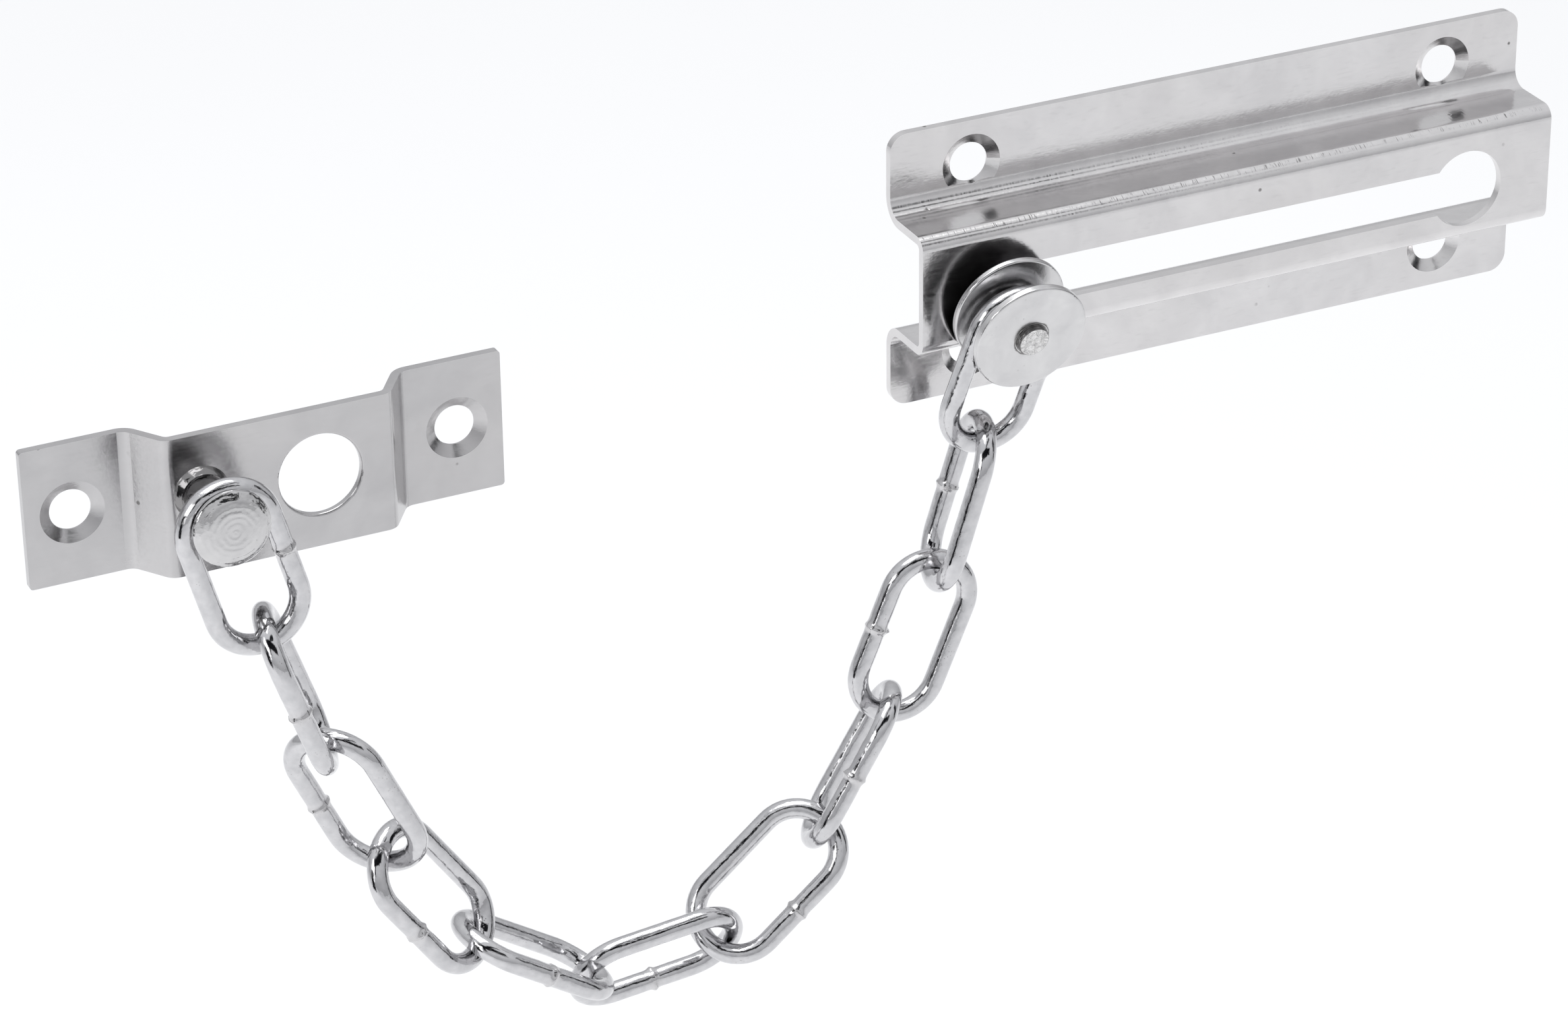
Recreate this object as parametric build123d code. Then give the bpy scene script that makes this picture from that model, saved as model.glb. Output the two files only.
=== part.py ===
from build123d import *
import math
import os

os.makedirs("parts", exist_ok=True)

# ---------------------------------------------------------------- sizes (mm)
# Frame: X along the track towards the keyhole end, Y into the door, Z up.
# The origin is the middle of the track on the mounting plane Y = 0.
SHEET = 1.2                 # plate thickness, both plates

TRACK_LENGTH = 100.0
TRACK_HEIGHT = 40.6
TRACK_STAND = 11.0          # front face of the rail above the mounting plane
TRACK_RAIL_HALF = 8.8       # half height of the raised rail, outside
TRACK_FOOT_R = 2.4          # bend between flange and web
TRACK_FACE_R = 1.9          # bend between web and rail face
TRACK_CORNER_R = 2.6
TRACK_HOLE_X = 37.6
TRACK_HOLE_Z = 13.8

SLOT_Z = -1.0
SLOT_WIDTH = 6.6
SLOT_X0 = -37.9             # centre of the closed end
KEYHOLE_X = 36.3
KEYHOLE_D = 11.4

SCREW_D = 5.7
SCREW_SINK_D = 8.8
SCREW_SINK_DEPTH = 0.95

KEEPER_X = -141.2
KEEPER_Z = -8.9
KEEPER_LENGTH = 66.6
KEEPER_HEIGHT = 19.9
KEEPER_STAND = 6.5
KEEPER_WEB_OUT = 19.2
KEEPER_WEB_IN = 15.6
KEEPER_FOOT_R = 1.8
KEEPER_FACE_R = 2.1
KEEPER_HOLE_X = 26.8
PARK_X = 5.4                # parking hole, from the keeper middle
PARK_Z = 0.4
PARK_D = 11.5
PARK_LIP = 0.35

STUD_X = -152.2             # fixed stud on the keeper
STUD_Z = -7.3
STUD_D = 5.6
STUD_COLLAR_D = 7.6
STUD_COLLAR_H = 1.1
STUD_HEAD_D = 10.6
STUD_HEAD_BACK = 17.2       # back of the head above the mounting plane
STUD_HEAD_RIM = 0.7
STUD_HEAD_DOME = 1.2
STUD_HEAD_FLAT_D = 4.6
STUD_TAIL_D = 6.8
STUD_TAIL_H = 1.0

WIRE_D = 2.9
LINK_INNER = 20.8           # inside length
LINK_WIDTH = 14.7           # outside width
WELD_R = 0.24               # height of the butt weld above the wire
WELD_W = 1.0

SLIDER_X = -38.0
SLIDER_Z = -2.20
SLIDER_LEAN = 14.0          # degrees, the slider hangs nose down in the slot
PIN_D = 5.0
NECK_D = 3.6                # the part of the pin that runs in the slot
PIN_TIP = 0.9
PIN_TIP_D = 4.6
REAR_HEAD_D = 10.4
REAR_HEAD_Y = 2.15
REAR_HEAD_H = 1.4
DISC_D = 16.6
DISC_IN = 2.2               # rear face of the inner disc, along the pin
DISC_IN_H = 1.0
DISC_OUT = 8.4              # rear face of the outer disc, along the pin
DISC_OUT_H = 1.25

# centre x, y, z, direction of the long axis from +X (deg), lean towards the
# door, twist about the long axis, side of the weld
LINKS = [
    (-150.237, -15.293, -14.435, -74.619, 0.0, 0.0, 1),
    (-144.099, -15.080, -34.090, -71.171, 0.0, 74.0, -1),
    (-136.505, -14.866, -53.208, -65.115, 0.0, 135.0, 1),
    (-126.368, -14.653, -70.950, -55.220, 0.0, 38.0, -1),
    (-111.833, -14.439, -84.668, -33.700, 0.0, 90.0, -1),
    (-93.265, -14.226, -90.328, 4.762, 0.0, 154.0, 1),
    (-75.903, -14.012, -82.981, 39.128, 0.0, 44.0, -1),
    (-62.577, -13.799, -67.682, 57.785, 0.0, 115.0, -1),
    (-52.879, -13.585, -49.679, 66.695, 0.0, 5.0, 1),
    (-45.740, -13.372, -30.379, 71.970, 0.0, 104.0, 1),
    (-39.932, -14.736, -10.940, 75.466, 10.0, 0.0, -1),
]


# ---------------------------------------------------------------- helpers
def offset_path(pts, t):
    """Points of a line running at distance t on the left of an open path."""
    dirs = []
    for a, b in zip(pts[:-1], pts[1:]):
        d = math.hypot(b[0] - a[0], b[1] - a[1])
        dirs.append(((b[0] - a[0]) / d, (b[1] - a[1]) / d))
    out = []
    for i, p in enumerate(pts):
        if i == 0 or i == len(pts) - 1:
            d = dirs[0] if i == 0 else dirs[-1]
            out.append((p[0] - d[1] * t, p[1] + d[0] * t))
            continue
        a, b = dirs[i - 1], dirs[i]
        na, nb = (-a[1], a[0]), (-b[1], b[0])
        k = t / (1.0 + na[0] * nb[0] + na[1] * nb[1])
        out.append((p[0] + (na[0] + nb[0]) * k, p[1] + (na[1] + nb[1]) * k))
    return out


def sheet_section(front, radii, t):
    """Closed section of a folded sheet whose front line and bends are given."""
    back = offset_path(front, t)
    face = make_face(Polyline(*(front + back[::-1]), close=True).edges())
    for i in range(1, len(front) - 1):
        a = (front[i][0] - front[i - 1][0], front[i][1] - front[i - 1][1])
        b = (front[i + 1][0] - front[i][0], front[i + 1][1] - front[i][1])
        left = a[0] * b[1] - a[1] * b[0] > 0
        r = radii[i - 1]
        for p, rad in ((front[i], r), (back[i], r - t if left else r + t)):
            near = [v for v in face.vertices()
                    if abs(v.X - p[0]) < 1e-4 and abs(v.Y - p[1]) < 1e-4]
            face = fillet(near, rad)
    return face


def along_y(x, y0, y1, z, r):
    """Cylinder parallel to Y between two Y stations."""
    body = Cylinder(r, abs(y1 - y0))
    return Pos(x, (y0 + y1) / 2, z) * Rot(90, 0, 0) * body


def screw_hole(x, z, y_front):
    """Through hole with a shallow countersink opening on the front."""
    cut = along_y(x, y_front - 1, y_front + SHEET + 1, z, SCREW_D / 2)
    cone = Cone(SCREW_D / 2, SCREW_SINK_D / 2 + 0.001, SCREW_SINK_DEPTH)
    cut += Pos(x, y_front + SCREW_SINK_DEPTH / 2, z) * Rot(90, 0, 0) * cone
    return cut


def save(shape, name):
    solids = shape.solids()
    if len(solids) != 1:
        raise ValueError(name + " has " + str(len(solids)) + " solids")
    solid = solids[0]
    solid.label = name
    export_step(solid, "parts/" + name + ".step")


# ---------------------------------------------------------------- track plate
h = TRACK_HEIGHT / 2
w = TRACK_RAIL_HALF
section = sheet_section(
    [(-SHEET, h), (-SHEET, w), (-TRACK_STAND, w),
     (-TRACK_STAND, -w), (-SHEET, -w), (-SHEET, -h)],
    [TRACK_FOOT_R, TRACK_FACE_R, TRACK_FACE_R, TRACK_FOOT_R], SHEET)
track = extrude(Plane.YZ * section, amount=TRACK_LENGTH / 2, both=True)
corners = [e for e in track.edges().filter_by(Axis.Y)
           if abs(abs(e.center().Z) - h) < 0.01 and e.length < SHEET + 0.01]
track = fillet(corners, TRACK_CORNER_R)
slot_y0, slot_y1 = -TRACK_STAND - 1, -TRACK_STAND + SHEET + 1
slot = Pos((SLOT_X0 + KEYHOLE_X) / 2, (slot_y0 + slot_y1) / 2, SLOT_Z) * Box(
    KEYHOLE_X - SLOT_X0, slot_y1 - slot_y0, SLOT_WIDTH)
slot += along_y(SLOT_X0, slot_y0, slot_y1, SLOT_Z, SLOT_WIDTH / 2)
slot += along_y(KEYHOLE_X, slot_y0, slot_y1, SLOT_Z, KEYHOLE_D / 2)
track -= slot
for sx in (-1, 1):
    for sz in (-1, 1):
        track -= screw_hole(sx * TRACK_HOLE_X, sz * TRACK_HOLE_Z, -SHEET)
save(track, "track_plate")

# ---------------------------------------------------------------- keeper plate
l = KEEPER_LENGTH / 2
section = sheet_section(
    [(-l, -SHEET), (-KEEPER_WEB_OUT, -SHEET), (-KEEPER_WEB_IN, -KEEPER_STAND),
     (KEEPER_WEB_IN, -KEEPER_STAND), (KEEPER_WEB_OUT, -SHEET), (l, -SHEET)],
    [KEEPER_FOOT_R, KEEPER_FACE_R, KEEPER_FACE_R, KEEPER_FOOT_R], SHEET)
keeper = extrude(section, amount=KEEPER_HEIGHT / 2, both=True)
corners = [e for e in keeper.edges().filter_by(Axis.Y)
           if abs(abs(e.center().X) - l) < 0.01]
keeper = fillet(corners, 0.5)
for sx in (-1, 1):
    keeper -= screw_hole(sx * KEEPER_HOLE_X, 0, -SHEET)
k0, k1 = -KEEPER_STAND - 1, -KEEPER_STAND + SHEET + 1
keeper -= along_y(PARK_X, k0, k1, PARK_Z, PARK_D / 2)
lip = [e for e in keeper.edges().filter_by(GeomType.CIRCLE)
       if abs(e.radius - PARK_D / 2) < 0.01]
keeper = fillet(lip, PARK_LIP)
keeper = Pos(KEEPER_X, 0, KEEPER_Z) * keeper
keeper -= along_y(STUD_X, k0, k1, STUD_Z, STUD_D / 2)
save(keeper, "keeper_plate")

# ---------------------------------------------------------------- fixed stud
face_y = -KEEPER_STAND
back_y = face_y + SHEET
head_y = -STUD_HEAD_BACK
stud = along_y(STUD_X, head_y, back_y, STUD_Z, STUD_D / 2)
collar = Cone(STUD_COLLAR_D / 2, STUD_D / 2 + 0.3, STUD_COLLAR_H)
stud += Pos(STUD_X, face_y - STUD_COLLAR_H / 2, STUD_Z) * Rot(90, 0, 0) * collar
tail = along_y(STUD_X, back_y, back_y + STUD_TAIL_H, STUD_Z, STUD_TAIL_D / 2)
stud += tail
r_h, r_f = STUD_HEAD_D / 2, STUD_HEAD_FLAT_D / 2
y_rim = head_y - STUD_HEAD_RIM
y_top = y_rim - STUD_HEAD_DOME
dome = make_face([
    Line((0, head_y), (r_h - 0.15, head_y)),
    Line((r_h - 0.15, head_y), (r_h, head_y - 0.15)),
    Line((r_h, head_y - 0.15), (r_h, y_rim)),
    ThreePointArc((r_h, y_rim),
                  ((r_h + r_f) / 2 + 0.22, (y_rim + y_top) / 2 - 0.26),
                  (r_f, y_top)),
    Line((r_f, y_top), (0, y_top)),
    Line((0, y_top), (0, head_y)),
])
stud += Pos(STUD_X, 0, STUD_Z) * revolve(dome, Axis.Y)
save(stud, "anchor_stud")


# ---------------------------------------------------------------- chain links
def chain_link(weld_side):
    """Welded link, long axis X, width along Y, centred on the origin."""
    r = WIRE_D / 2
    bow = (LINK_WIDTH - WIRE_D) / 2
    half = (LINK_INNER + WIRE_D) / 2 - bow
    link = None
    for s in (-1, 1):
        leg = Pos(0, s * bow, 0) * Rot(0, 90, 0) * Cylinder(r, 2 * half)
        link = leg if link is None else link + leg
        profile = Plane(origin=(s * half, -bow, 0), x_dir=(0, 1, 0),
                        z_dir=(1, 0, 0)) * Circle(r)
        turn = 180 if s > 0 else -180
        link += revolve(profile, Axis((s * half, 0, 0), (0, 0, 1)), turn)
    bead = Cylinder(r + WELD_R, WELD_W)
    bead = chamfer(bead.edges().filter_by(GeomType.CIRCLE), WELD_R * 0.8)
    link += Pos(0, weld_side * bow, 0) * Rot(0, 90, 0) * bead
    return link


for i, (cx, cy, cz, ang, lean, twist, side) in enumerate(LINKS):
    a, t = math.radians(ang), math.radians(twist)
    e = Vector(math.cos(a), 0, math.sin(a))
    n1 = Vector(0, 1, 0)
    n2 = e.cross(n1)
    width = n2 * math.cos(t) + n1 * math.sin(t)
    e, width = e.rotate(Axis.X, lean), width.rotate(Axis.X, lean)
    spot = Plane(origin=(cx, cy, cz), x_dir=e, z_dir=e.cross(width))
    save(spot * chain_link(side), "chain_link_%02d" % (i + 1))

# ---------------------------------------------------------------- slider
# built on an upright axis, front upwards, then laid into the slot
pin = Pos(0, 0, (DISC_OUT + DISC_OUT_H + DISC_IN) / 2) * Cylinder(
    PIN_D / 2, DISC_OUT + DISC_OUT_H - DISC_IN)
pin += Pos(0, 0, (DISC_IN - REAR_HEAD_Y) / 2) * Cylinder(
    NECK_D / 2, DISC_IN + REAR_HEAD_Y)
rear = Cylinder(REAR_HEAD_D / 2, REAR_HEAD_H)
rear = chamfer(rear.edges().filter_by(GeomType.CIRCLE), 0.25)
pin += Pos(0, 0, -REAR_HEAD_Y - REAR_HEAD_H / 2) * rear
tip = Cylinder(PIN_TIP_D / 2, PIN_TIP)
tip = fillet(tip.edges().group_by(Axis.Z)[-1], 0.35)
pin += Pos(0, 0, DISC_OUT + DISC_OUT_H + PIN_TIP / 2) * tip


def disc(s, hgt, soft):
    ring = Pos(0, 0, s + hgt / 2) * (Cylinder(DISC_D / 2, hgt)
                                     - Cylinder(PIN_D / 2, hgt))
    rim = [e for e in ring.edges().filter_by(GeomType.CIRCLE)
           if abs(e.radius - DISC_D / 2) < 0.01]
    return fillet(rim, soft)


spot = Pos(SLIDER_X, -TRACK_STAND + SHEET / 2, SLIDER_Z) * Rot(90 + SLIDER_LEAN, 0, 0)
save(spot * pin, "slider_pin")
save(spot * disc(DISC_IN, DISC_IN_H, 0.3), "slider_inner_disc")
save(spot * disc(DISC_OUT, DISC_OUT_H, 0.3), "slider_outer_disc")
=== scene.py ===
import math
import random

import bmesh
import bpy
from mathutils import Matrix, Vector


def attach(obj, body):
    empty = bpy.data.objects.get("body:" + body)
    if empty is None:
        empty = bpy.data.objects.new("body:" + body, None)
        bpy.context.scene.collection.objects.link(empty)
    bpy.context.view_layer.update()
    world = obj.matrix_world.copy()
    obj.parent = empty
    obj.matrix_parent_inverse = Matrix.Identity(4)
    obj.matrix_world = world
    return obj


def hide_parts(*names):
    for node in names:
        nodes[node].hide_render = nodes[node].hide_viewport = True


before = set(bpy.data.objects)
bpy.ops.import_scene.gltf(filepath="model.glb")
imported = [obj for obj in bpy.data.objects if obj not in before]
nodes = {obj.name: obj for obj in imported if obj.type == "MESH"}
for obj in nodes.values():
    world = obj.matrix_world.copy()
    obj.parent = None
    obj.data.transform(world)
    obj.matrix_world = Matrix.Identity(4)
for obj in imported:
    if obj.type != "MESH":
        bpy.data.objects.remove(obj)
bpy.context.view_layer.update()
MM = 0.001


# ------------------------------------------------------------------ materials
class Nodes:
    """A small helper that adds shader nodes and links them by name."""

    def __init__(self, name):
        self.mat = bpy.data.materials.new(name)
        self.mat.use_nodes = True
        self.nt = self.mat.node_tree
        self.nt.nodes.clear()
        self.out = self.nt.nodes.new("ShaderNodeOutputMaterial")
        self.bsdf = self.nt.nodes.new("ShaderNodeBsdfPrincipled")
        self.nt.links.new(self.bsdf.outputs["BSDF"], self.out.inputs["Surface"])

    def new(self, kind, **props):
        n = self.nt.nodes.new(kind)
        for k, v in props.items():
            setattr(n, k, v)
        return n

    def link(self, a, b):
        self.nt.links.new(a, b)

    def coords(self, kind="Object"):
        return self.new("ShaderNodeTexCoord").outputs[kind]

    def attribute(self, name):
        n = self.new("ShaderNodeAttribute", attribute_type="GEOMETRY")
        n.attribute_name = name
        return n.outputs["Vector"]

    def mapped(self, vec, scale=(1, 1, 1), loc=(0, 0, 0), rot=(0, 0, 0)):
        n = self.new("ShaderNodeMapping")
        n.inputs["Scale"].default_value = scale
        n.inputs["Location"].default_value = loc
        n.inputs["Rotation"].default_value = rot
        self.link(vec, n.inputs["Vector"])
        return n.outputs["Vector"]

    def noise(self, vec, scale, detail=3.0, rough=0.55, dist=0.0):
        n = self.new("ShaderNodeTexNoise")
        n.inputs["Scale"].default_value = scale
        n.inputs["Detail"].default_value = detail
        n.inputs["Roughness"].default_value = rough
        n.inputs["Distortion"].default_value = dist
        self.link(vec, n.inputs["Vector"])
        return n.outputs["Fac"]

    def cells(self, vec, scale, feature="F1"):
        n = self.new("ShaderNodeTexVoronoi", feature=feature)
        n.inputs["Scale"].default_value = scale
        self.link(vec, n.inputs["Vector"])
        return n.outputs["Distance"]

    def remap(self, val, a0, a1, b0, b1, smooth=False):
        n = self.new("ShaderNodeMapRange")
        n.interpolation_type = "SMOOTHSTEP" if smooth else "LINEAR"
        n.inputs["From Min"].default_value = a0
        n.inputs["From Max"].default_value = a1
        n.inputs["To Min"].default_value = b0
        n.inputs["To Max"].default_value = b1
        self.link(val, n.inputs["Value"])
        return n.outputs["Result"]

    def math(self, op, a, b=None, clamp=False):
        n = self.new("ShaderNodeMath", operation=op)
        n.use_clamp = clamp
        for i, v in enumerate((a, b)):
            if v is None:
                continue
            if isinstance(v, (int, float)):
                n.inputs[i].default_value = v
            else:
                self.link(v, n.inputs[i])
        return n.outputs["Value"]

    def axis(self, vec, which):
        n = self.new("ShaderNodeSeparateXYZ")
        self.link(vec, n.inputs["Vector"])
        return n.outputs[which]

    def mix(self, fac, a, b):
        n = self.new("ShaderNodeMix", data_type="RGBA")
        if isinstance(fac, (int, float)):
            n.inputs["Factor"].default_value = fac
        else:
            self.link(fac, n.inputs["Factor"])
        for s, v in (("A", a), ("B", b)):
            sock = [i for i in n.inputs if i.name == s and i.type == "RGBA"][0]
            if isinstance(v, tuple):
                sock.default_value = (*v, 1.0)
            else:
                self.link(v, sock)
        return [o for o in n.outputs if o.type == "RGBA"][0]

    def bump(self, height, strength, distance, normal=None):
        n = self.new("ShaderNodeBump")
        n.inputs["Strength"].default_value = strength
        n.inputs["Distance"].default_value = distance
        self.link(height, n.inputs["Height"])
        if normal is not None:
            self.link(normal, n.inputs["Normal"])
        return n.outputs["Normal"]


def plate_nickel(name, bends, seed, tint=(1.0, 1.0, 1.0), gloss=0.0,
                 edge_reflection_y=None):
    """Satin nickel on pressed sheet: cloudy plating, rolled grain, press marks
    across the bends, pits. bends: list of (axis letter, position, half width)."""
    m = Nodes(name)
    co = m.coords("Object")
    here = m.mapped(co, loc=(seed, seed * 0.7, seed * 1.3))
    cloud = m.noise(here, 130, 4, 0.6, 0.6)
    patch = m.noise(here, 34, 2, 0.5)
    grain = m.noise(m.mapped(co, scale=(0.22, 1.0, 1.0), loc=(seed, 0, 0)), 2300, 3, 0.6)
    peel = m.noise(here, 1500, 2, 0.5)
    near = None
    for letter, at, half in bends:
        d = m.math("ABSOLUTE", m.math("SUBTRACT", m.axis(co, letter), at))
        w = m.remap(d, half * 0.35, half, 1.0, 0.0, True)
        near = w if near is None else m.math("MAXIMUM", near, w)
    lines = "X" if bends[0][0] == "Z" else "Z"
    k = (1.0, 0.06, 0.06) if lines == "X" else (0.06, 0.06, 1.0)
    press = m.noise(m.mapped(co, scale=k, loc=(0, seed, 0)), 1900, 3, 0.6)
    press = m.math("MULTIPLY", m.math("SUBTRACT", press, 0.5), near)
    pits = m.cells(m.mapped(here, scale=(1, 1, 1)), 330)
    holes = m.remap(pits, 0.05, 0.12, 1.0, 0.0, True)
    few = m.remap(m.noise(here, 70, 1, 0.5), 0.60, 0.68, 0.0, 1.0, True)
    pit = m.math("MULTIPLY", holes, few)
    tone = m.remap(cloud, 0.30, 0.72, 0.0, 1.0)
    c = [tuple(v * t for v, t in zip(col, tint)) for col in
         ((0.545, 0.540, 0.543), (0.635, 0.630, 0.630))]
    base = m.mix(tone, c[0], c[1])
    base = m.mix(m.remap(patch, 0.45, 0.75, 0.0, 0.35), base, (0.66, 0.64, 0.63))
    base = m.mix(m.remap(grain, 0.58, 0.80, 0.0, 0.30), base, (0.50, 0.49, 0.49))
    base = m.mix(m.math("MULTIPLY", pit, 0.8), base, (0.12, 0.115, 0.11))
    # painted reflection: a dark broken line along each outer bend on the front, standing in for the
    # rounded edge reflecting a dark surround
    edge_reflection = m.noise(m.mapped(co, scale=k, loc=(seed, 0, 0)), 5200, 3, 0.7)
    edge_reflection = m.remap(edge_reflection, 0.57, 0.63, 0.0, 1.0, True)
    edge = None
    for letter, at, half in bends:
        d = m.math("ABSOLUTE", m.math("SUBTRACT", m.axis(co, letter), at))
        w = m.remap(d, 0.00030, 0.00060, 1.0, 0.0, True)
        edge = w if edge is None else m.math("MAXIMUM", edge, w)
    # painted reflection: the dark edge line is kept to the front of the plate
    if edge_reflection_y is not None:
        front = m.remap(m.axis(co, "Y"), edge_reflection_y, edge_reflection_y + 0.0004, 1.0, 0.0, True)
        edge_reflection = m.math("MULTIPLY", m.math("MULTIPLY", edge_reflection, edge), front)
        base = m.mix(m.math("MULTIPLY", edge_reflection, 0.75), base, (0.10, 0.095, 0.095))
    m.link(base, m.bsdf.inputs["Base Color"])
    m.bsdf.inputs["Metallic"].default_value = 1.0
    rough = m.remap(cloud, 0.25, 0.75, 0.20 - gloss, 0.31 - gloss)
    rough = m.math("ADD", rough, m.remap(grain, 0.4, 0.75, 0.0, 0.05))
    m.link(m.math("ADD", rough, m.math("MULTIPLY", pit, 0.3)), m.bsdf.inputs["Roughness"])
    h = m.math("ADD", m.math("MULTIPLY", grain, 0.45), m.math("MULTIPLY", peel, 0.55))
    h = m.math("ADD", h, m.math("MULTIPLY", press, 0.7))
    h = m.math("SUBTRACT", h, m.math("MULTIPLY", pit, 1.6))
    m.link(m.bump(h, 0.42, 0.00004), m.bsdf.inputs["Normal"])
    return m.mat


def turned_nickel(name, seed, rough_lo=0.13, rough_hi=0.24, dirt=0.35, rivet=None,
                  light=1.0, backs=(), rings=0.0, shank=None, hammer=1.0):
    """Bright nickel on small turned and riveted parts. rivet: (centre in metres,
    turn about X in degrees, ring radius, height where hammering starts) of a
    peened end, with a dirty seam round it. backs: heights of rear faces painted near black as shade.
    rings: depth of turning rings. shank: height under which the shank is painted darker as shade.
    hammer: how hard the end is peened."""
    m = Nodes(name)
    co = m.coords("Object")
    here = m.mapped(co, loc=(seed, seed, seed))
    cloud = m.noise(here, 260, 4, 0.6, 0.4)
    peel = m.noise(here, 1700, 3, 0.55)
    speck = m.remap(m.cells(here, 900), 0.04, 0.13, 1.0, 0.0, True)
    some = m.remap(m.noise(here, 160, 1, 0.5), 0.56, 0.66, 0.0, 1.0, True)
    spot = m.math("MULTIPLY", speck, some)
    base = m.mix(m.remap(cloud, 0.3, 0.7, 0.0, 1.0),
                 (0.55 * light, 0.545 * light, 0.55 * light),
                 (0.65 * light, 0.645 * light, 0.645 * light))
    base = m.mix(m.math("MULTIPLY", spot, dirt), base, (0.16, 0.155, 0.15))
    hammered = None
    if rivet is not None:
        at, turn, ring_r, start = rivet
        sub = m.new("ShaderNodeVectorMath", operation="SUBTRACT")
        sub.inputs[1].default_value = at
        m.link(co, sub.inputs[0])
        own = m.mapped(sub.outputs["Vector"], rot=(math.radians(-turn), 0, 0))
        x_, y_, z_ = (m.axis(own, a) for a in "XYZ")
        r_ = m.math("SQRT", m.math("ADD", m.math("MULTIPLY", x_, x_),
                                   m.math("MULTIPLY", y_, y_)))
        wob = m.remap(m.noise(own, 900, 2, 0.5), 0.3, 0.7, -0.00010, 0.00010)
        chips_ = m.noise(own, 700, 3, 0.6)
        d_ = m.math("ABSOLUTE", m.math("SUBTRACT", m.math("ADD", r_, wob), ring_r))
        seam = m.math("MULTIPLY", m.remap(d_, 0.00004, 0.00020, 1.0, 0.0, True),
                      m.remap(z_, start - 0.0006, start - 0.0001, 0.0, 1.0, True))
        base = m.mix(m.math("MULTIPLY", seam, 0.75), base, (0.08, 0.075, 0.07))
        # painted shade: the rear faces at the heights in backs are painted near black
        for at_z in backs:
            gap = m.math("ABSOLUTE", m.math("SUBTRACT", z_, at_z))
            back_shade = m.remap(gap, 0.00012, 0.00022, 1.0, 0.0, True)
            back_shade = m.math("MULTIPLY", back_shade, m.remap(chips_, 0.25, 0.75, 0.86, 1.0))
            base = m.mix(back_shade, base, (0.045, 0.043, 0.046))
        # painted shade: the shank under the head is painted darker
        if shank is not None:
            shank_shade = m.remap(z_, shank - 0.0003, shank, 1.0, 0.0, True)
            base = m.mix(m.math("MULTIPLY", shank_shade, 0.75), base, (0.14, 0.135, 0.135))
        inside = m.math("MULTIPLY", m.remap(r_, ring_r - 0.0002, ring_r, 1.0, 0.0, True),
                        m.remap(z_, start, start + 0.0003, 0.0, 1.0, True))
        dents = m.cells(own, 1150)
        chips = m.noise(own, 2600, 3, 0.6)
        hammered = m.math("MULTIPLY", inside, m.math("ADD", m.math("MULTIPLY", dents, 3.2 * hammer),
                                                     m.math("MULTIPLY", chips, 1.5 * hammer)))
        base = m.mix(m.math("MULTIPLY", inside, 0.7 * hammer), base, (0.80, 0.79, 0.78))
        base = m.mix(m.math("MULTIPLY", inside, m.remap(chips, 0.55, 0.72, 0.0, 0.45 * hammer)),
                     base, (0.26, 0.25, 0.24))
        if rings > 0.0:
            turns = m.math("SINE", m.math("MULTIPLY", m.math("ADD", r_, wob), 7600.0))
            hammered = m.math("ADD", hammered, m.math("MULTIPLY", turns, rings))
    m.link(base, m.bsdf.inputs["Base Color"])
    m.bsdf.inputs["Metallic"].default_value = 1.0
    m.link(m.remap(cloud, 0.25, 0.75, rough_lo, rough_hi), m.bsdf.inputs["Roughness"])
    h = m.math("ADD", m.math("MULTIPLY", peel, 0.7), m.math("MULTIPLY", spot, -1.2))
    nrm = m.bump(h, 0.4, 0.00003)
    if hammered is not None:
        nrm = m.bump(hammered, 0.8, 0.00022, nrm)
    m.link(nrm, m.bsdf.inputs["Normal"])
    return m.mat


def drawn_chrome(name):
    """Bright plated wire: long drawing lines, slight waviness, burnt specks at
    the weld. Reads the mesh attribute wire = (length, across, across, mm)."""
    m = Nodes(name)
    w = m.attribute("wire")
    weld = m.axis(m.attribute("weld"), "X")
    lines = m.noise(m.mapped(w, scale=(0.05, 1.0, 1.0)), 3.6, 4, 0.6)
    fine = m.noise(m.mapped(w, scale=(0.25, 1.0, 1.0)), 14.0, 2, 0.6)
    wave = m.noise(m.mapped(w, scale=(0.5, 1.0, 1.0)), 0.9, 2, 0.5)
    cloud = m.noise(w, 0.7, 3, 0.55)
    speck = m.remap(m.cells(w, 2.2), 0.06, 0.22, 1.0, 0.0, True)
    some = m.remap(m.noise(w, 0.35, 1, 0.5), 0.55, 0.66, 0.0, 1.0, True)
    spot = m.math("MULTIPLY", speck, m.math("MAXIMUM", some, m.math("MULTIPLY", weld, 0.9)))
    base = m.mix(m.remap(cloud, 0.3, 0.7, 0.0, 1.0), (0.53, 0.528, 0.54), (0.635, 0.63, 0.64))
    base = m.mix(m.remap(lines, 0.58, 0.80, 0.0, 0.35), base, (0.52, 0.515, 0.52))
    base = m.mix(m.math("MULTIPLY", spot, 0.6), base, (0.18, 0.16, 0.15))
    base = m.mix(m.math("MULTIPLY", weld, 0.25), base, (0.55, 0.53, 0.52))
    m.link(base, m.bsdf.inputs["Base Color"])
    m.bsdf.inputs["Metallic"].default_value = 1.0
    r = m.math("ADD", m.remap(cloud, 0.3, 0.75, 0.04, 0.10), m.math("MULTIPLY", weld, 0.10))
    m.link(r, m.bsdf.inputs["Roughness"])
    h = m.math("ADD", m.math("MULTIPLY", wave, 2.6), m.math("MULTIPLY", lines, 0.55))
    h = m.math("ADD", h, m.math("MULTIPLY", fine, 0.14))
    h = m.math("SUBTRACT", h, m.math("MULTIPLY", spot, 0.5))
    m.link(m.bump(h, 0.5, 0.00006), m.bsdf.inputs["Normal"])
    return m.mat


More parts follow.
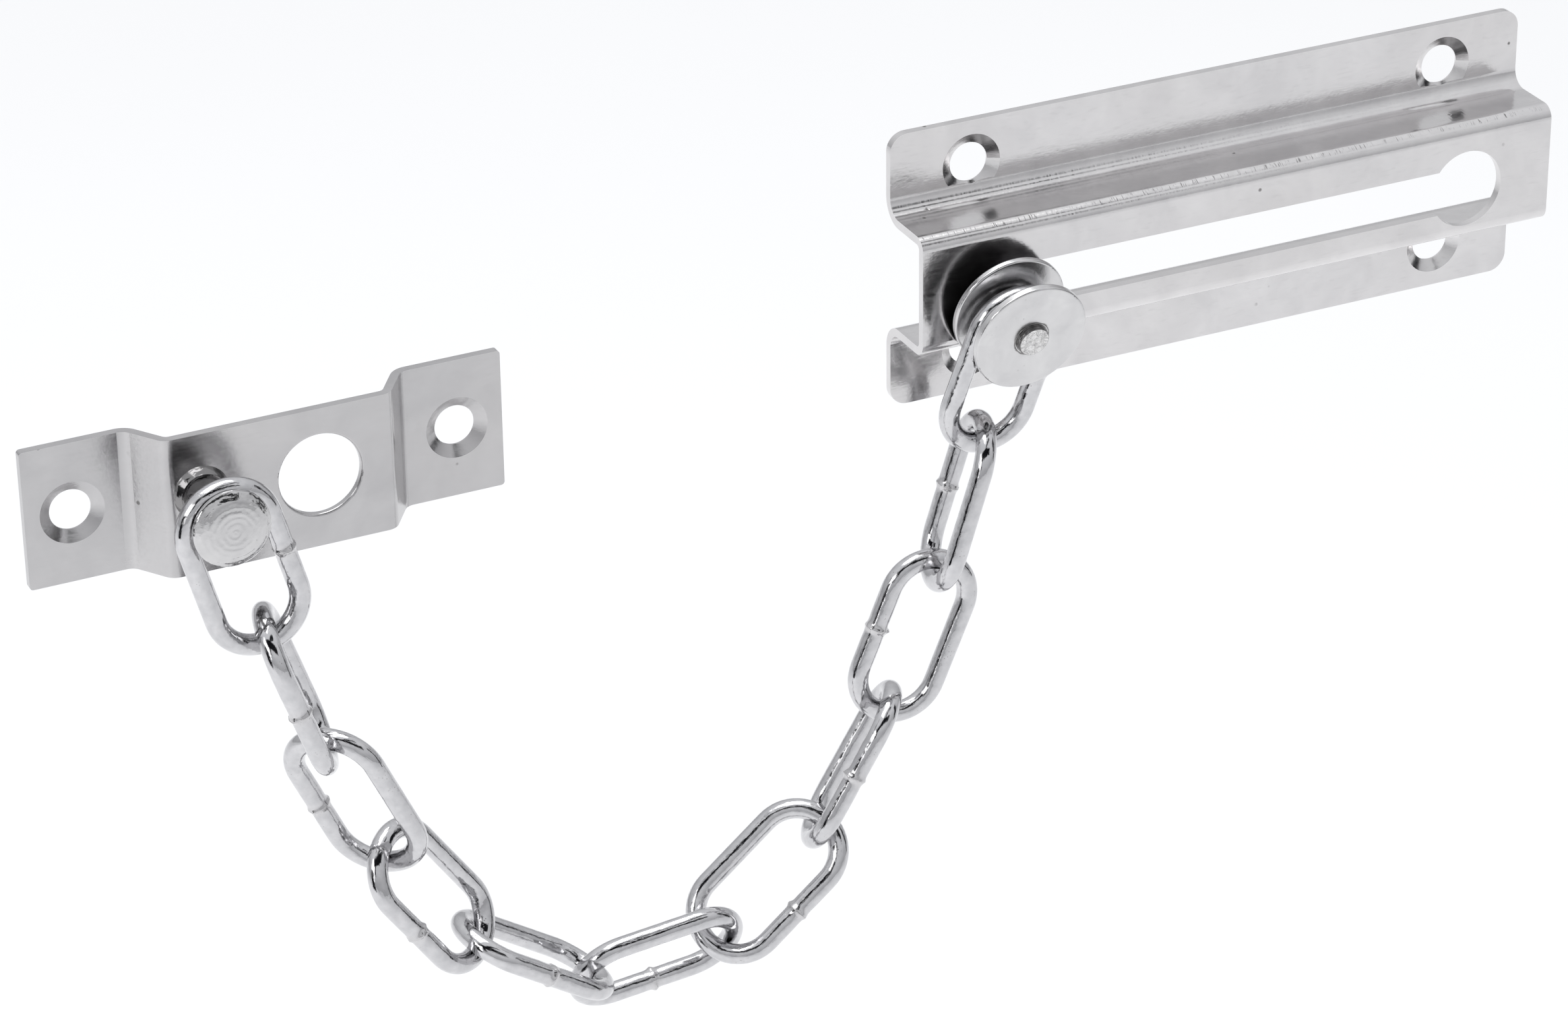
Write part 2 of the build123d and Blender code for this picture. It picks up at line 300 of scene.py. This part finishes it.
def pale_floor(name):
    m = Nodes(name)
    co = m.coords("Object")
    m.link(m.mix(m.noise(co, 3.0, 2), (0.955, 0.955, 0.955), (0.975, 0.975, 0.975)),
           m.bsdf.inputs["Base Color"])
    m.bsdf.inputs["Roughness"].default_value = 0.9
    m.bsdf.inputs["Specular IOR Level"].default_value = 0.1
    return m.mat


def dark_card(name):
    m = Nodes(name)
    m.bsdf.inputs["Base Color"].default_value = (0.01, 0.01, 0.012, 1)
    m.bsdf.inputs["Roughness"].default_value = 1.0
    m.bsdf.inputs["Specular IOR Level"].default_value = 0.0
    return m.mat


# ------------------------------------------------------------------ helpers
def dress(node, material):
    o = nodes[node]
    o.data.materials.clear()
    o.data.materials.append(material)
    for p in o.data.polygons:
        p.material_index = 0


def soft_edges(node, width, angle=28):
    o = nodes[node]
    b = o.modifiers.new("edge", "BEVEL")
    b.width = width
    b.segments = 2
    b.limit_method = "ANGLE"
    b.angle_limit = math.radians(angle)
    b.harden_normals = False
    b.use_clamp_overlap = True


def mesh_object(name, bm, material):
    me = bpy.data.meshes.new(name)
    bm.to_mesh(me)
    bm.free()
    me.materials.append(material)
    for p in me.polygons:
        p.use_smooth = True
    o = bpy.data.objects.new(name, me)
    bpy.context.scene.collection.objects.link(o)
    return o


# ------------------------------------------------------------------ chain
WIRE_R = 1.45
LINK_INNER = 20.8
LINK_WIDTH = 14.7
LINKS = [
    (-150.237, -15.293, -14.435, -74.619, 0.0, 0.0, 1),
    (-144.099, -15.080, -34.090, -71.171, 0.0, 74.0, -1),
    (-136.505, -14.866, -53.208, -65.115, 0.0, 135.0, 1),
    (-126.368, -14.653, -70.950, -55.220, 0.0, 38.0, -1),
    (-111.833, -14.439, -84.668, -33.700, 0.0, 90.0, -1),
    (-93.265, -14.226, -90.328, 4.762, 0.0, 154.0, 1),
    (-75.903, -14.012, -82.981, 39.128, 0.0, 44.0, -1),
    (-62.577, -13.799, -67.682, 57.785, 0.0, 115.0, -1),
    (-52.879, -13.585, -49.679, 66.695, 0.0, 5.0, 1),
    (-45.740, -13.372, -30.379, 71.970, 0.0, 104.0, 1),
    (-39.932, -14.736, -10.940, 75.466, 10.0, 0.0, -1),
]


def link_path(side, n_leg, n_bow):
    """Centre line of a link in its own plane, starting and ending at the weld,
    as (x, y, nx, ny, arc length); nx, ny points outwards."""
    bow = LINK_WIDTH / 2 - WIRE_R
    half = LINK_INNER / 2 + WIRE_R - bow
    pts = []
    s = 0.0
    # half a leg, finer near the weld
    def leg(x0, x1, y, ny, n, fine_start=False, fine_end=False):
        nonlocal s
        ts = [i / n for i in range(n + 1)]
        if fine_start:
            ts = [t ** 1.7 for t in ts]
        if fine_end:
            ts = [1 - (1 - t) ** 1.7 for t in ts]
        for t in ts[:-1]:
            pts.append((x0 + (x1 - x0) * t, y, 0.0, ny, s + abs(x1 - x0) * t))
        s += abs(x1 - x0)

    def arc(cx, a0, a1, n):
        nonlocal s
        for i in range(n):
            a = a0 + (a1 - a0) * i / n
            pts.append((cx + bow * math.cos(a), bow * math.sin(a),
                        math.cos(a), math.sin(a), s + bow * abs(a - a0)))
        s += bow * abs(a1 - a0)

    leg(0, half, bow, 1.0, n_leg, fine_start=True)
    arc(half, math.pi / 2, -math.pi / 2, n_bow)
    leg(half, -half, -bow, -1.0, n_leg, False, False)
    arc(-half, -math.pi / 2, -3 * math.pi / 2, n_bow)
    leg(-half, 0, bow, 1.0, n_leg, fine_end=True)
    pts.append((0.0, bow, 0.0, 1.0, s))
    if side < 0:
        pts = [(-x, -y, -nx, -ny, t) for x, y, nx, ny, t in pts]
    return pts, s


def chain_link(index, cx, cy, cz, ang, lean, twist, side, material):
    rnd = random.Random(4100 + index)
    a, t = math.radians(ang), math.radians(twist)
    e = Vector((math.cos(a), 0, math.sin(a)))
    n1 = Vector((0, 1, 0))
    n2 = e.cross(n1)
    width = n2 * math.cos(t) + n1 * math.sin(t)
    tip = Matrix.Rotation(math.radians(lean), 3, "X")
    e, width = tip @ e, tip @ width
    up = e.cross(width)
    centre = Vector((cx, cy, cz))
    pts, total = link_path(side, 26, 30)
    ring_n = 40
    ph = [rnd.uniform(0, 6.283) for _ in range(8)]
    offs = rnd.uniform(-0.22, 0.22)       # the weld's small step sideways
    burr = rnd.choice([0.0, 0.0, 0.6, 1.0])
    burr_at = rnd.uniform(2.6, 3.7)       # on the inner side of the leg
    bm = bmesh.new()
    wire = bm.verts.layers.float_vector.new("wire")
    weld = bm.verts.layers.float_vector.new("weld")
    rings = []
    for x, y, nx, ny, s in pts:
        d = min(s, total - s)             # distance from the weld line
        side_s = 1 if s < total / 2 else -1
        fade = math.exp(-(d / 0.42) ** 2)
        shoulder = math.exp(-((d - 1.1) / 0.7) ** 2)
        ring = []
        for k in range(ring_n):
            f = 2 * math.pi * k / ring_n
            r = WIRE_R
            r += 0.012 * math.sin(2 * f + ph[0] + s * 0.21) * min(1, d / 3)
            lump = 0.20 + 0.07 * math.sin(2 * f + ph[1]) + 0.05 * math.sin(5 * f + ph[2]) \
                + 0.03 * math.sin(9 * f + ph[3])
            r += fade * max(0.03, lump)
            r += burr * 0.42 * fade * math.exp(-((f - burr_at) / 0.42) ** 2)
            r -= 0.035 * shoulder * (0.6 + 0.4 * math.sin(3 * f + ph[4]))
            skew = side_s * 0.03 * math.exp(-d / 1.5)
            c, q = math.cos(f), math.sin(f)
            off = offs * 0.25 * math.exp(-(d / 2.2) ** 2) * side_s * 0.4
            lx = x + nx * r * c
            ly = y + ny * r * c
            lz = r * q + off + skew
            p = centre + e * lx + width * ly + up * lz
            v = bm.verts.new(p * MM)
            v[wire] = Vector((s + 61.3 * index, r * c, r * q))
            v[weld] = Vector((math.exp(-(d / 0.9) ** 2), 0, 0))
            ring.append(v)
        rings.append(ring)
    for i in range(len(rings) - 1):
        A, B = rings[i], rings[i + 1]
        for k in range(ring_n):
            n = (k + 1) % ring_n
            bm.faces.new((A[k], A[n], B[n], B[k]))
    # the last ring closes on the first through the groove of the weld
    A, B = rings[-1], rings[0]
    for k in range(ring_n):
        for v in (A[k], B[k]):
            v.co = v.co
    bmesh.ops.remove_doubles(bm, verts=[v for v in A + B], dist=0.0)
    for k in range(ring_n):
        n = (k + 1) % ring_n
    pairs = {}
    for k in range(ring_n):
        m_ = (A[k].co + B[k].co) / 2
        A[k].co = m_
        B[k].co = m_
    bmesh.ops.remove_doubles(bm, verts=[v for v in A + B], dist=1e-7)
    bmesh.ops.recalc_face_normals(bm, faces=bm.faces)
    o = mesh_object("link_mesh_%02d" % index, bm, material)
    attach(o, "link_%02d" % index)
    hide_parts("chain_link_%02d" % index)
    return o


chrome = drawn_chrome("link_chrome_look")
for i, row in enumerate(LINKS):
    chain_link(i + 1, *row, chrome)

# ------------------------------------------------------------------ plates
track_mat = plate_nickel("track_nickel_look", [("Z", 0.0088, 0.0035), ("Z", -0.0088, 0.0035)], 0.31,
                         (1.18, 1.17, 1.17), 0.10, -0.0099)
dress("track_plate", track_mat)
soft_edges("track_plate", 0.00016)
keeper_mat = plate_nickel("keeper_nickel_look", [("X", -0.1586, 0.0035), ("X", -0.1238, 0.0035)], 1.17,
                          (0.89, 0.885, 0.89), 0.05)
dress("keeper_plate", keeper_mat)
soft_edges("keeper_plate", 0.00016)
STUD = (-0.1522, 0.0, -0.0073)         # axis of the fixed stud
stud_mat = turned_nickel("stud_nickel_look", 2.2, 0.09, 0.16, 0.35,
                         (STUD, 90.0, 0.0064, 0.0174), 0.96, (), 0.10, 0.0172, 0.06)
dress("anchor_stud", stud_mat)
RIVET = (-0.0380, -0.0104, -0.0022)    # origin of the slider, on its pin
pin_mat = turned_nickel("pin_nickel_look", 3.9, 0.12, 0.24, 0.35,
                        (RIVET, 104.0, 0.00228, 0.0098))
dress("slider_pin", pin_mat)
disc_mat = turned_nickel("disc_nickel_look", 5.3, 0.17, 0.28, 0.35,
                         (RIVET, 104.0, 0.00258, 0.0094), 1.06, (0.0022, 0.0084))
dress("slider_inner_disc", disc_mat)
dress("slider_outer_disc", disc_mat)

# ------------------------------------------------------------------ studio
bm = bmesh.new()
S = 6.0
N = 12
Z0 = -0.42
grid = [[bm.verts.new((-S + 2 * S * i / N, -S + 2 * S * j / N, Z0)) for j in range(N + 1)]
        for i in range(N + 1)]
for i in range(N):
    for j in range(N):
        bm.faces.new((grid[i][j], grid[i + 1][j], grid[i + 1][j + 1], grid[i][j + 1]))
floor = mesh_object("studio_floor", bm, pale_floor("studio_floor_look"))


def card(name, at, look, w, h, material):
    """A flat dark card beside the set, seen only in reflections."""
    at, look = Vector(at), Vector(look)
    z = (look - at).normalized()
    x = Vector((0, 0, 1)).cross(z).normalized()
    y = z.cross(x)
    b = bmesh.new()
    vs = [b.verts.new(at + x * (w / 2) * sx + y * (h / 2) * sy)
          for sx, sy in ((-1, -1), (1, -1), (1, 1), (-1, 1))]
    b.faces.new(vs)
    o = mesh_object(name, b, material)
    o.visible_camera = False
    o.visible_shadow = False
    o.visible_diffuse = False
    return o


AIM = Vector((-0.055, -0.01, -0.045))


def around(az_deg, el_deg, dist):
    """A point seen from the object at an azimuth from -Y towards +X."""
    a_, e_ = math.radians(az_deg), math.radians(el_deg)
    return AIM + Vector((math.sin(a_) * math.cos(e_), -math.cos(a_) * math.cos(e_),
                         math.sin(e_))) * dist


black = dark_card("studio_card_look")
card("studio_card_front", around(-20, 50, 1.15), AIM, 1.9, 0.36, black)
card("studio_card_left", around(-52, 30, 1.25), AIM, 0.26, 0.60, black)
card("studio_card_low", around(-78, 2, 1.2), AIM, 0.50, 0.75, black)
card("studio_card_right", around(72, 12, 1.2), AIM, 0.26, 0.95, black)
card("studio_card_brow", around(15, 66, 1.15), AIM, 0.9, 0.16, black)

world = bpy.data.worlds.new("studio_world")
bpy.context.scene.world = world
world.use_nodes = True
bg = world.node_tree.nodes["Background"]
sky = world.node_tree.nodes.new("ShaderNodeTexCoord")
up_ = world.node_tree.nodes.new("ShaderNodeSeparateXYZ")
ramp = world.node_tree.nodes.new("ShaderNodeValToRGB")
world.node_tree.links.new(sky.outputs["Generated"], up_.inputs["Vector"])
world.node_tree.links.new(up_.outputs["Z"], ramp.inputs["Fac"])
world.node_tree.links.new(ramp.outputs["Color"], bg.inputs["Color"])
ramp.color_ramp.elements[0].position = 0.0
ramp.color_ramp.elements[0].color = (0.52, 0.525, 0.54, 1)
ramp.color_ramp.elements[1].position = 0.75
ramp.color_ramp.elements[1].color = (0.88, 0.89, 0.91, 1)
bg.inputs["Strength"].default_value = 1.0


def softbox(name, at, size, power):
    d = bpy.data.lights.new(name, "AREA")
    d.shape = "RECTANGLE"
    d.size, d.size_y = size
    d.energy = power
    o = bpy.data.objects.new(name, d)
    o.location = at
    o.rotation_euler = (Vector(at) - AIM).to_track_quat("Z", "Y").to_euler()
    bpy.context.scene.collection.objects.link(o)
    return o


softbox("studio_top", (-0.15, 0.25, 1.4), (1.3, 0.8), 9)
softbox("studio_left", (-1.3, -0.35, 0.45), (0.7, 0.9), 4)

# ------------------------------------------------------------------ camera
az, el, roll = (math.radians(v) for v in (-25.48, 27.6, -0.68))
back = Vector((math.sin(az) * math.cos(el), -math.cos(az) * math.cos(el), math.sin(el)))
right = Vector((math.cos(az), math.sin(az), 0.0))
upv = back.cross(right)
r2 = right * math.cos(roll) + upv * math.sin(roll)
u2 = upv * math.cos(roll) - right * math.sin(roll)
cam_data = bpy.data.cameras.new("photo_camera")
cam_data.sensor_fit = "HORIZONTAL"
cam_data.sensor_width = 36.0
cam_data.lens = 7981.0 / 2377.0 * 36.0
cam_data.clip_start = 0.01
cam_data.clip_end = 30.0
cam = bpy.data.objects.new("photo_camera", cam_data)
rot = Matrix((r2, u2, back)).transposed().to_4x4()
cam.matrix_world = Matrix.Translation(Vector((-0.3441, -0.5837, 0.3037))) @ rot
bpy.context.scene.collection.objects.link(cam)
bpy.context.scene.camera = cam
bpy.context.scene.view_settings.view_transform = "Standard"
